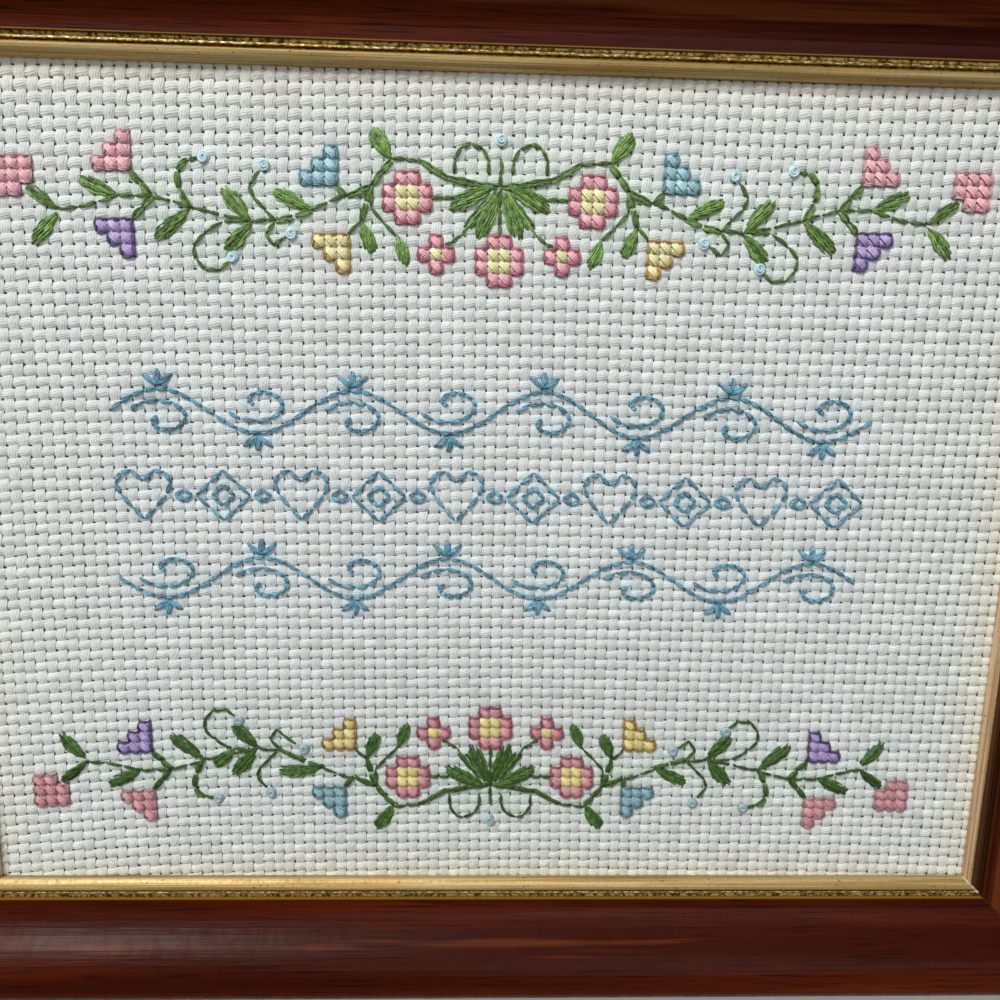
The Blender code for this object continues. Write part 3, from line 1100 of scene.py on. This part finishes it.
@dataclass(frozen=True)
class Lie:
    """How the bundles that run one way lie: which cell of the first one is on top, the seed of their small
    differences, their half width where they are pinched and what they swell by, in blocks, and their rise
    and fall, in millimetres.
    """

    first: int
    seed: int
    waist: float
    belly: float
    swung: float
    drop: float
    raised: float


@dataclass
class AidaWeave:
    """The cloth itself: flat bundles woven one over, one under, above a ground painted dark as the shade
    that shows down the holes.
    """

    cloth: Cloth
    halo: FlossHalo
    columns: int = 98
    rows: int = 77
    depth: float = 0.56 * MM
    uneven_width: float = 0.050
    uneven_height: float = 0.24
    uneven_place: float = 0.024
    uneven_tone: float = 0.07
    fuzz: float = 0.026 * MM
    weft: Lie = Lie(first=0, seed=11, waist=0.408, belly=0.050, swung=0.250, drop=0.330, raised=0.0)
    warp: Lie = Lie(first=1, seed=21, waist=0.394, belly=0.062, swung=0.180, drop=0.175, raised=-0.008)

    def bundle_grid(self, run: Run) -> Grid:
        """Every bundle that runs one way. A bundle is a ribbon: across it the height falls from its
        middle by a power of the distance, along it the ribbon swings up and down with a squared-off
        cosine of the block, and it is widest on top. Each place on top differs a little in width,
        height, place and lightness.

        Args:
            run: the bundles' direction.

        Returns:
            Their points and faces.
        """
        across = run is Run.ACROSS
        bundles, blocks = (self.rows, self.columns) if across else (self.columns, self.rows)
        home = (np.arange(bundles) - (bundles - 1) / 2)[:, None]
        lie = self.weft if across else self.warp
        seed = lie.seed
        cells = np.arange(blocks)[None, :, None]
        on_top = (np.arange(bundles)[:, None, None] + cells + lie.first) % 2 == 0
        shares = np.where(on_top, np.array([0.03, 0.22, 0.5, 0.78, 0.97]), 0.5)
        keep = np.where(on_top, np.ones(5, dtype=bool), np.arange(5) == 0)
        spots = cells + shares - blocks / 2
        width = int(max(keep[0].sum(), keep[1].sum())) + 1
        place = np.empty((bundles, width))
        for side in (0, 1):
            chosen = spots[side][keep[side]]
            rest = np.linspace(chosen[-1], blocks / 2, width - len(chosen) + 1)[1:]
            place[side::2] = np.append(chosen, rest)
        within = place + blocks / 2
        swing = np.cos(np.pi * (within - np.floor(within) - 0.5))
        cell = np.clip(np.floor(place + blocks / 2), 0, blocks - 1)
        sign = np.where((np.arange(bundles)[:, None] + cell + lie.first) % 2 == 0, 1.0, -1.0)
        level = sign * np.tanh(0.8 * swing) / np.tanh(0.8)
        leaning = 0.034 * np.sin(np.pi * (place - np.floor(place + blocks / 2) + blocks / 2 - 0.5)) * sign
        over = np.array([-1.0, -0.62, 0.0, 0.62, 1.0])
        each = np.arange(bundles)[:, None] * blocks + cell.astype(int)
        fuller = wander(bundles * blocks, seed + 4, self.uneven_width)[each] * np.abs(level)
        higher = 1 + wander(bundles * blocks, seed + 5, self.uneven_height)[each]
        slipped = wander(bundles * blocks, seed + 6, self.uneven_place)[each] * np.abs(level)
        lighter = 1 + wander(bundles * blocks, seed + 7, self.uneven_tone)[each]
        wobble = wander(bundles, seed, 0.016)[:, None]
        broad = 1 + wander(bundles, seed + 1, 0.03)[:, None]
        jitter = 0.014 * np.sin(place * 2.1 + home * 1.7) + 0.012 * np.sin(place * 0.73 - home * 2.9)
        half = (lie.waist + lie.belly * np.clip(level, -0.3, 1)) * (broad + fuller)
        middle = home + wobble + jitter + slipped + leaning
        aside = middle[:, :, None] + half[:, :, None] * over
        lift = lie.raised + lie.swung * (level * higher)[:, :, None] - lie.drop * np.abs(over) ** 2.2
        lift = lift * MM
        lift = lift + wander(lift.size, seed + 8, self.fuzz).reshape(lift.shape)
        lengthwise = np.broadcast_to(place[:, :, None], aside.shape)
        u, w = (lengthwise, aside) if across else (aside, lengthwise)
        points = self.cloth.place(u, w, lift)
        faces = lattice(width, len(over))
        if not across:
            faces = faces[:, ::-1]
        starts = np.arange(bundles)[:, None, None] * (width * len(over))
        around = np.broadcast_to(over * 0.5 + 0.5, aside.shape)
        uv = np.stack([lengthwise + home[:, :, None] * 0.37, around], axis=-1)
        lighter = lighter * (1 + wander(bundles, seed + 2, 0.012)[:, None])
        # The tone holds the floss halo, painted reflection and shadow, and random lightness.
        tone = self.halo.at(u, w) * self.painted_bounce_and_shadow(u, w) * lighter[:, :, None, None]
        return Grid(points.reshape(-1, 3), (faces[None] + starts).reshape(-1, 4), uv.reshape(-1, 2),
                    tone.reshape(-1, 3))

    def painted_bounce_and_shadow(self, u: np.ndarray, w: np.ndarray) -> np.ndarray:
        """Painted light on the cotton: a painted warm reflection of the gilt where the cloth meets its slip,
        fading inwards over a few blocks, and a painted shadow, a little greyer, in a bell-shaped patch
        below the middle.

        Args:
            u: blocks across.
            w: blocks up.

        Returns:
            Red, green and blue factors along a new last axis.
        """
        inward = np.minimum(47.25 - np.abs(u), 36.75 - np.abs(w))
        # Painted reflection of the gilt: warmer toward the slip.
        gilt_bounce = 1 - 0.17 * np.exp(-np.clip(inward, 0, None) / 2.4)
        # Painted shadow: greyer below the middle.
        painted_shadow = 1 - 0.075 * np.exp(-(((w + 22.0) / 13.0) ** 2) - (u / 34.0) ** 2)
        return painted_shadow[..., None] * gilt_bounce[..., None] ** np.array([-0.20, 0.22, 1.10])

    def ground_grid(self) -> Grid:
        """The closed slab under the bundles: its upper face follows the cloth, its lower face lies on the
        board.

        Returns:
            Its points and faces.
        """
        wide, high, inset, thick = 61, 49, 0.2 * MM, 0.35 * MM
        x, y = np.meshgrid(np.linspace(-1, 1, wide) * (self.cloth.half_width - inset),
                           np.linspace(-1, 1, high) * (self.cloth.half_height - inset), indexing="ij")
        top = np.stack([x, y, self.cloth.height(x, y) - self.depth], axis=-1).reshape(-1, 3)
        low = top - (0, 0, thick)
        faces = lattice(wide, high)
        number = np.arange(wide * high).reshape(wide, high)
        ring = np.concatenate([number[:, 0], number[-1, 1:], number[-2::-1, -1], number[0, -2:0:-1]])
        after = np.roll(ring, -1)
        count = len(top)
        side = np.stack([ring + count, after + count, after, ring], axis=-1)
        quads = np.concatenate([faces, faces[:, ::-1] + count, side])
        return Grid.plain(np.concatenate([top, low]), quads)

    def build(self) -> list[bpy.types.Object]:
        """Weaves the cloth.

        Returns:
            The ground, then the two sets of bundles.
        """
        ground = self.ground_grid().to_object("aida_ground", ShadedGround().material("shaded_ground"))
        # The weft's furrows get lighter painted shade.
        smoother = AidaCotton(furrow=0.92).material("aida_cotton_weft")
        weft = self.bundle_grid(Run.ACROSS).to_object("aida_weft", smoother)
        warp = self.bundle_grid(Run.UP).to_object("aida_warp", AidaCotton().material("aida_cotton_warp"))
        return [ground, weft, warp]


@dataclass
class Embroidery:
    """Everything stitched on the cloth."""

    cloth: Cloth
    halo: FlossHalo
    sewn: dict[Floss, list[Grid]] = field(default_factory=dict)

    @staticmethod
    def miscounted(points: np.ndarray) -> np.ndarray:
        """Where the stitcher really put points of the chart: the lower garland's left end sits a block to
        the left and a block up, and one fan and the last bud on its right sit a block to the left.
        Each block is lost over a short ramp, so the stems between run on.

        Args:
            points: n rows of u and w, in blocks.

        Returns:
            The same rows, moved.
        """
        u, w = points[:, 0], points[:, 1]
        left_from, right_from = 18.0, 36.2
        fan_from, fan_to, fan_below = 12.9, 18.5, -26.9
        left_end = np.clip(-u - left_from, 0, 1)
        right_end = np.clip(u - right_from, 0, 1)
        one_fan = np.clip(u - fan_from, 0, 1) * ((u < fan_to) & (w < fan_below))
        moved = np.stack([-(left_end + right_end + one_fan), left_end], axis=1)
        return points + moved * (w < 0)[:, None]

    def mirrored(self, parts: list[Stitches], across: bool) -> Stitches:
        """One quarter's stitches on the other quarters too.

        Args:
            parts: the quarter's stitches.
            across: also swaps left and right, for what isn't on the middle line.

        Returns:
            All the stitches.
        """
        one = Stitches.join(parts)
        sides = (1, -1) if across else (1,)
        both = Stitches.join([one.turned(side, up) for side in sides for up in (1, -1)])
        return replace(both, start=self.miscounted(both.start), end=self.miscounted(both.end))

    def with_lower_shade(self, stitches: Stitches, lower: Colour) -> Stitches:
        """Darkens the lower garland as painted shade, a little deeper in hue.

        Args:
            stitches: the stitches.
            lower: how light a stitch below the middle is beside one above it, in red, green and blue.

        Returns:
            The stitches in their own tones.
        """
        return replace(stitches, tone=stitches.tone * np.where(stitches.start[:, 1:] < 0, lower, 1.0))

    def crossed(self, corners: np.ndarray) -> tuple[Stitches, Stitches]:
        """The under and upper legs of crosses at some blocks.

        Args:
            corners: the blocks' lower left corners, as n rows of u and w.

        Returns:
            The under legs, then the upper legs.
        """
        low = corners + 0.03
        high = corners + 0.97
        upper_left = np.stack([low[:, 0], high[:, 1]], axis=1)
        lower_right = np.stack([high[:, 0], low[:, 1]], axis=1)
        under = Stitches.make(low, high, 0.24, 0.0, seed=5, vary=0.12)
        upper = Stitches.make(upper_left, lower_right, 0.58, 0.0, seed=6, vary=0.14)
        return under, upper

    def tint_round(self, stitches: Stitches, floss: Floss, weight: float) -> None:
        """Lets a set of stitches tint the cloth round it."""
        run = np.linspace(0.1, 0.85, 4)[None, :, None]
        spots = stitches.start[:, None, :] + (stitches.end - stitches.start)[:, None, :] * run
        self.halo.spread_tint(spots.reshape(-1, 2), floss.halo, weight)

    def threads(self) -> dict[str, Thread]:
        """The threads by what they sew. A cross's strands lie side by side, and the others' are twisted."""
        return {
            "crosses": Thread(self.cloth, strands=3, radius=0.210 * MM, apart=0.310 * MM, twist=0.10,
                              flat=2.6, foot=0.72, flank=0.88, laid_flat=True),
            "outlines": Thread(self.cloth, radius=0.165 * MM, apart=0.150 * MM, along=8, foot=0.35,
                               flank=0.60),
            "stems": Thread(self.cloth, radius=0.160 * MM, apart=0.140 * MM, twist=0.42, along=10,
                            flank=0.55),
            "leaves": Thread(self.cloth, radius=0.160 * MM, apart=0.150 * MM, twist=0.42, along=12,
                             around=5, flank=0.16),
            "bands": Thread(self.cloth, twist=0.45, along=8, foot=0.25, flank=0.3),
        }

    def sew(self, floss: Floss, use: str, stitches: Stitches, seed: int, weight: float) -> None:
        """Lays a set of stitches, and tints the cloth under them.

        Args:
            floss: their colour.
            use: what they are, which chooses the thread.
            stitches: the stitches.
            seed: for the small differences between strands.
            weight: how strongly they tint the cloth.
        """
        self.sewn.setdefault(floss, []).append(self.threads()[use].lay(stitches, seed))
        self.tint_round(stitches, floss, weight)

    def fill_motifs(self, chart: Chart, across: bool) -> None:
        """Sews a chart's crosses, then their outlines.

        Args:
            chart: the chart.
            across: also sews its mirror image, left for right.
        """
        for floss, blocks in chart.crosses.items():
            corners = np.array(blocks, dtype=float)
            sets = [corners, corners * (1, -1) - (0, 1)]
            if across:
                sets = sets + [one * (-1, 1) - (1, 0) for one in sets]
            for leg, stitches in enumerate(self.crossed(self.miscounted(np.concatenate(sets)))):
                self.sew(floss, "crosses", self.with_lower_shade(stitches, LOWER_SHADE[floss]), 30 + leg, 0.25)
        for floss, parts in chart.outlines.items():
            outlines = self.with_lower_shade(self.mirrored(parts, across), LOWER_OUTLINE_SHADE)
            self.sew(floss, "outlines", outlines, 41, 0.25)

    def add_greenery(self, chart: Chart, across: bool) -> None:
        """Sews a chart's stems, leaves and knots.

        Args:
            chart: the chart.
            across: also sews their mirror image, left for right.
        """
        self.sew(LEAF, "stems", self.with_lower_shade(self.mirrored(chart.stems, across), LOWER_STEM_SHADE), 51, 0.55)
        if chart.leaves:
            leaves = self.with_lower_shade(self.mirrored(chart.leaves, across), LOWER_SHADE[LEAF])
            self.sew(LEAF, "leaves", leaves, 61, 0.25)
        spots = np.array(chart.knots)
        spots = np.concatenate([spots, spots * (1, -1)])
        if across:
            spots = self.miscounted(np.concatenate([spots, spots * (-1, 1)]))
        # Painted shade on the knots below the middle.
        deeper = np.where(spots[:, 1] < 0, LOWER_KNOT_SHADE, 1.0)
        self.sewn.setdefault(MIST, []).append(Knot(self.cloth).lay(spots, deeper))
        self.halo.spread_tint(np.repeat(spots, 5, axis=0), MIST.halo, 0.6)

    def build(self) -> dict[Floss, Grid]:
        """Charts and lays all the stitching.

        Returns:
            Points and faces by floss.
        """
        quarter, middle, bands = Chart(), Chart(), Chart()
        quarter.draw_garland()
        middle.draw_middle()
        bands.draw_bands()
        for chart, across in ((quarter, True), (middle, False)):
            self.fill_motifs(chart, across)
            self.add_greenery(chart, across)
        odd = Chart()
        odd.leaf((-24.2, -23.5), (-26.4, -25.2), 1.20, 6)
        self.sew(LEAF, "leaves", self.with_lower_shade(odd.leaves[0], LOWER_SHADE[LEAF]), 62, 0.25)
        self.sew(LAKE, "bands", Stitches.join(bands.bands), 71, 0.45)
        return {floss: Grid.join(parts) for floss, parts in self.sewn.items()}


@dataclass(frozen=True)
class Sight:
    """The opening inside the gilt slips, by its half sizes."""

    half_width: float = 85.725 * MM
    half_height: float = 66.675 * MM

    def edge(self, run: Run) -> float:
        """How far from the middle a piece's sight edge lies."""
        return self.half_height if run is Run.ACROSS else self.half_width


@dataclass
class Surround:
    """The wooden rails and gilt slips, which keep their CAD shapes and get their finishes here."""

    sight: Sight

    def dress(self) -> None:
        """Finishes every rail, every slip and the board."""
        for side, run in (("top", Run.ACROSS), ("bottom", Run.ACROSS), ("left", Run.UP), ("right", Run.UP)):
            edge = self.sight.edge(run)
            self.paint("rail_" + side, Mahogany(run, edge).material("mahogany_" + side))
            self.paint("slip_" + side, GoldLeaf(run, edge).material("gold_leaf_" + side))
            log.info("dressed rail_%s and slip_%s", side, side)
        self.paint("backing_board", GreyBoard().material("pulp_board"))

    def paint(self, node: str, finish: Material) -> None:
        """Gives a CAD node a finish on every slot."""
        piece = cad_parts[node]
        piece.data.materials.clear()
        piece.data.materials.append(finish)


@dataclass(frozen=True)
class Filler(Finish):
    """A blotchy filler in two tones. It may be darkened on the left and right runs as painted shade."""

    low: Paint
    high: Paint
    rough: float
    metal: float
    dim_sides: bool = False
    painted_side_shade: Paint = (0.030, 0.010, 0.002, 1.0)
    sight: Sight = Sight()

    def lay_on(self, nodes: Nodes) -> None:
        """Two tones in small clouds, and dark brown painted shade where a point lies further out sideways
        than upwards.
        """
        cloud = nodes.noise(nodes.place(), 1400.0, 3.0, 0.6)
        base = nodes.over(self.low, self.high, cloud, 0.38, 0.62)
        if self.dim_sides:
            # Painted shade on the left and right runs.
            out_x, out_y = (nodes.outwards(run, self.sight.edge(run)) for run in (Run.UP, Run.ACROSS))
            lead = nodes.math("SUBTRACT", out_x, out_y)
            base = nodes.over(base, self.painted_side_shade, lead, -0.1 * MM, 0.1 * MM)
        nodes.shade(Base_Color=base, Roughness=self.rough, Metallic=self.metal,
                    Normal=nodes.bump(cloud, 0.00006, 0.6), Specular_IOR_Level=0.10)


@dataclass
class CornerFill:
    """What closes the frame's joints: gilder's putty over the slips' mitres, wax in the rails' mitres,
    and a thin gilt line between slip and wood.
    """

    sight: Sight
    steps: int = 10

    def slip_skin(self) -> np.ndarray:
        """The slip's face in section: a quarter ellipse up to its band, the furrow, and the half-round
        bead.

        Returns:
            Rows of distance from the sight edge and height, in millimetres.
        """
        angle = np.linspace(np.pi / 2, 0, self.steps)
        band = np.stack([1.75 * (1 - np.sin(angle)), 9.65 - 1.45 * (1 - np.cos(angle))], axis=1)
        angle = np.linspace(np.pi, 0, 7)
        bead = np.stack([2.42 + 0.32 * np.cos(angle), 9.10 + 0.32 * np.sin(angle)], axis=1)
        return np.concatenate([band, [[1.79, 9.10]], bead, [[2.98, 9.10]]])

    def wood_skin(self) -> np.ndarray:
        """The rail's face in section: a flat beside the gilt, an S-shaped rise, a crown and a shoulder,
        each a stretch of a circle or of a cosine.

        Returns:
            Rows of distance from the sight edge and height, in millimetres.
        """
        share = np.linspace(0, 1, 14)
        rise = np.stack([4.3 + 10.7 * share, 15.6 - 5.8 * (0.5 + 0.5 * np.cos(np.pi * share))], axis=1)
        angle = np.linspace(np.pi / 2, 0, self.steps)
        crown = np.stack([16.5 + 4.2 * np.cos(angle), 11.4 + 4.2 * np.sin(angle)], axis=1)
        shoulder = np.stack([20.7 + 1.6 * np.cos(angle), 9.8 + 1.6 * np.sin(angle) - 1.6], axis=1)
        return np.concatenate([[[3.32, 8.2], [3.32, 9.78]], rise, crown, shoulder, [[22.28, 0.4]]])

    def fill(self, skin: np.ndarray, core: Spot, half: float, proud: float, depth: float) -> Grid:
        """A thin blade in each of the four mitres. Its upper edge follows a skin along the diagonal, with
        a low ridge on it, and its lower edge lies a share of the way in toward a core.

        Args:
            skin: rows of distance out and height, in millimetres.
            core: distance out and height of the middle of the section, in millimetres.
            half: half the blade's thickness, in millimetres.
            proud: how far its ridge stands out, in millimetres.
            depth: the share of the way to the core.

        Returns:
            The blades' points and faces.
        """
        inward = np.array(core) - skin
        away = -inward / np.linalg.norm(inward, axis=1)[:, None]
        ridge = {1.0: -0.02, 0.5: proud * 0.7, 0.0: proud, -0.5: proud * 0.7, -1.0: -0.02}
        ring = [(skin, half * share, out) for share, out in ridge.items()]
        ring += [(skin + inward * depth, side, 0.0) for side in (-half, half)]
        parts = []
        for right, up in ((1, 1), (-1, 1), (-1, -1), (1, -1)):
            rows = []
            for line, side, out in ring:
                spot = line + away * out
                x = right * (self.sight.half_width / MM + spot[:, 0]) + right * side / np.sqrt(2)
                y = up * (self.sight.half_height / MM + spot[:, 0]) - up * side / np.sqrt(2)
                rows.append(np.stack([x, y, spot[:, 1]], axis=1))
            points = np.stack(rows, axis=1) * MM
            faces, caps = tubes(1, *points.shape[:2])
            if right * up < 0:
                faces, caps = faces[:, ::-1], caps[:, ::-1]
            parts.append(Grid.plain(points, faces, (caps,)))
        return Grid.join(parts)

    def gilt_line(self) -> Grid:
        """A small closed moulding carried round the opening: a low curve of cosine shape between slip and
        wood.

        Returns:
            Its points and faces.
        """
        share = np.linspace(0, 1, 6)
        top = np.stack([2.76 + 0.55 * share, 9.12 + 0.16 * np.sin(np.pi / 2 * share)], axis=1)
        section = np.concatenate([top, [[3.31, 8.9], [2.76, 8.9]]])
        signs = np.array([(1, 1), (-1, 1), (-1, -1), (1, -1)])
        reach = np.array([self.sight.half_width, self.sight.half_height]) / MM
        flat = signs[:, None, :] * (reach + section[None, :, :1])
        height = np.broadcast_to(section[None, :, 1:], (4, len(section), 1))
        points = np.concatenate([flat, height], axis=2) * MM
        corner, step = np.meshgrid(np.arange(4), np.arange(len(section)), indexing="ij")
        after, beside = (corner + 1) % 4, (step + 1) % len(section)
        faces = np.stack([corner * len(section) + beside, after * len(section) + beside,
                          after * len(section) + step, corner * len(section) + step], axis=-1).reshape(-1, 4)
        return Grid.plain(points, faces)

    def build(self) -> list[tuple[bpy.types.Object, str]]:
        """Makes the three fillings.

        Returns:
            Each piece with the kind of its finish, gilt or mahogany.
        """
        putty = Filler((0.42, 0.28, 0.12, 1.0), (0.66, 0.49, 0.28, 1.0), 0.70, 0.05)
        wax = Filler((0.024, 0.006, 0.002, 1.0), (0.060, 0.014, 0.004, 1.0), 0.75, 0.0)
        gilt = Filler((0.055, 0.028, 0.003, 1.0), (0.400, 0.275, 0.090, 1.0), 0.4, 0.6, dim_sides=True)
        over_slip = self.fill(self.slip_skin(), (1.5, 8.1), 0.24, 0.03, 0.30)
        in_wood = self.fill(self.wood_skin(), (13.5, 7.0), 0.24, -0.03, 0.12)
        return [(over_slip.to_object("mitre_putty", putty.material("gilders_putty")), "gilt"),
                (in_wood.to_object("mitre_wax", wax.material("brown_wax")), "mahogany"),
                (self.gilt_line().to_object("gilt_line", gilt.material("old_gilt_line")), "gilt")]


@dataclass(frozen=True)
class Lamp:
    """A square soft light: its place and side in metres, its power in watts and its tint."""

    name: str
    place: Place
    size: float
    power: float
    colour: Colour

    def hang(self) -> None:
        """Adds it to the scene, aimed at the middle of the sign."""
        data = bpy.data.lights.new(self.name, "AREA")
        data.size = self.size
        data.energy = self.power
        data.color = self.colour
        lamp = bpy.data.objects.new(self.name, data)
        hung = Matrix.Translation(self.place)
        away = hung.to_translation()
        lamp.matrix_world = hung @ away.to_track_quat("Z", "Y").to_matrix().to_4x4()
        bpy.context.scene.collection.objects.link(lamp)


@dataclass
class Studio:
    """Camera, soft lights and a pale floor."""

    eye: Place = (-4.519 * MM, 25.833 * MM, 141.2 * MM)
    lens: float = 29.73
    turns: Place = (-10.349, -1.797, 0.872)
    lamps: tuple[Lamp, ...] = (Lamp("window_light", (-0.55, 1.00, 0.85), 0.5, 21.0, (1.0, 0.99, 0.97)),
                               Lamp("room_fill", (0.30, 0.20, 1.3), 0.9, 4.6, (0.97, 0.98, 1.0)))
    air: Paint = (0.92, 0.91, 0.90, 1.0)
    air_strength: float = 0.16
    floor: tuple[Paint, Paint] = ((0.70, 0.69, 0.67, 1.0), (0.74, 0.73, 0.71, 1.0))
    floor_half: float = 1.5

    def set_camera(self) -> None:
        """A phone held close over the cloth, tipped a little toward its lower half."""
        data = bpy.data.cameras.new("phone_view")
        data.lens = self.lens
        data.sensor_width = 36.0
        data.clip_start = 0.001
        data.clip_end = 20.0
        camera = bpy.data.objects.new("phone_view", data)
        about_x, about_y, about_z = (math.radians(angle) for angle in self.turns)
        turned = (Matrix.Rotation(about_z, 4, "Z") @ Matrix.Rotation(about_x, 4, "X")
                  @ Matrix.Rotation(about_y, 4, "Y"))
        camera.matrix_world = Matrix.Translation(self.eye) @ turned
        bpy.context.scene.collection.objects.link(camera)
        bpy.context.scene.camera = camera

    def build(self) -> None:
        """Lays the floor, hangs the lights and lights the air."""
        for lamp in self.lamps:
            lamp.hang()
        world = bpy.data.worlds.new("pale_room")
        world.use_nodes = True
        air = world.node_tree.nodes["Background"].inputs
        air[0].default_value = self.air
        air[1].default_value = self.air_strength
        bpy.context.scene.world = world
        bpy.context.scene.view_settings.view_transform = "Standard"
        side = np.linspace(-self.floor_half, self.floor_half, 9)
        x, y = np.meshgrid(side, side, indexing="ij")
        points = np.stack([x, y, 0 * x - 0.0002], axis=-1)
        nodes = Nodes("pale_floor")
        pale = nodes.over(*self.floor, nodes.noise(nodes.place(), 6.0), 0.3, 0.7)
        nodes.shade(Base_Color=pale, Roughness=0.7)
        floor = Grid.plain(points, lattice(9, 9))
        floor.to_object("pale_floor", nodes.material)


def main() -> None:
    """Builds the sign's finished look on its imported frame."""
    studio = Studio()
    studio.set_camera()
    studio.build()
    cloth = Cloth()
    halo = FlossHalo()
    for floss, grid in Embroidery(cloth, halo).build().items():
        piece = grid.to_object(floss.name.replace("floss_", "stitches_"), floss.material(floss.name))
        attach(piece, BODY)
        log.info("stitched %s: %d triangles", piece.name, 2 * len(grid.quads))
    ground, weft, warp = AidaWeave(cloth, halo).build()
    for piece in (ground, weft, warp):
        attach(piece, BODY)
        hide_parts("stitched_cloth")
        log.info("wove %s: %d faces", piece.name, len(piece.data.polygons))
    sight = Sight()
    Surround(sight).dress()
    for piece, slot in CornerFill(sight).build():
        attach(piece, BODY)
        log.info("filled %s: %d faces", piece.name, len(piece.data.polygons))


if __name__ == "__main__":
    main()
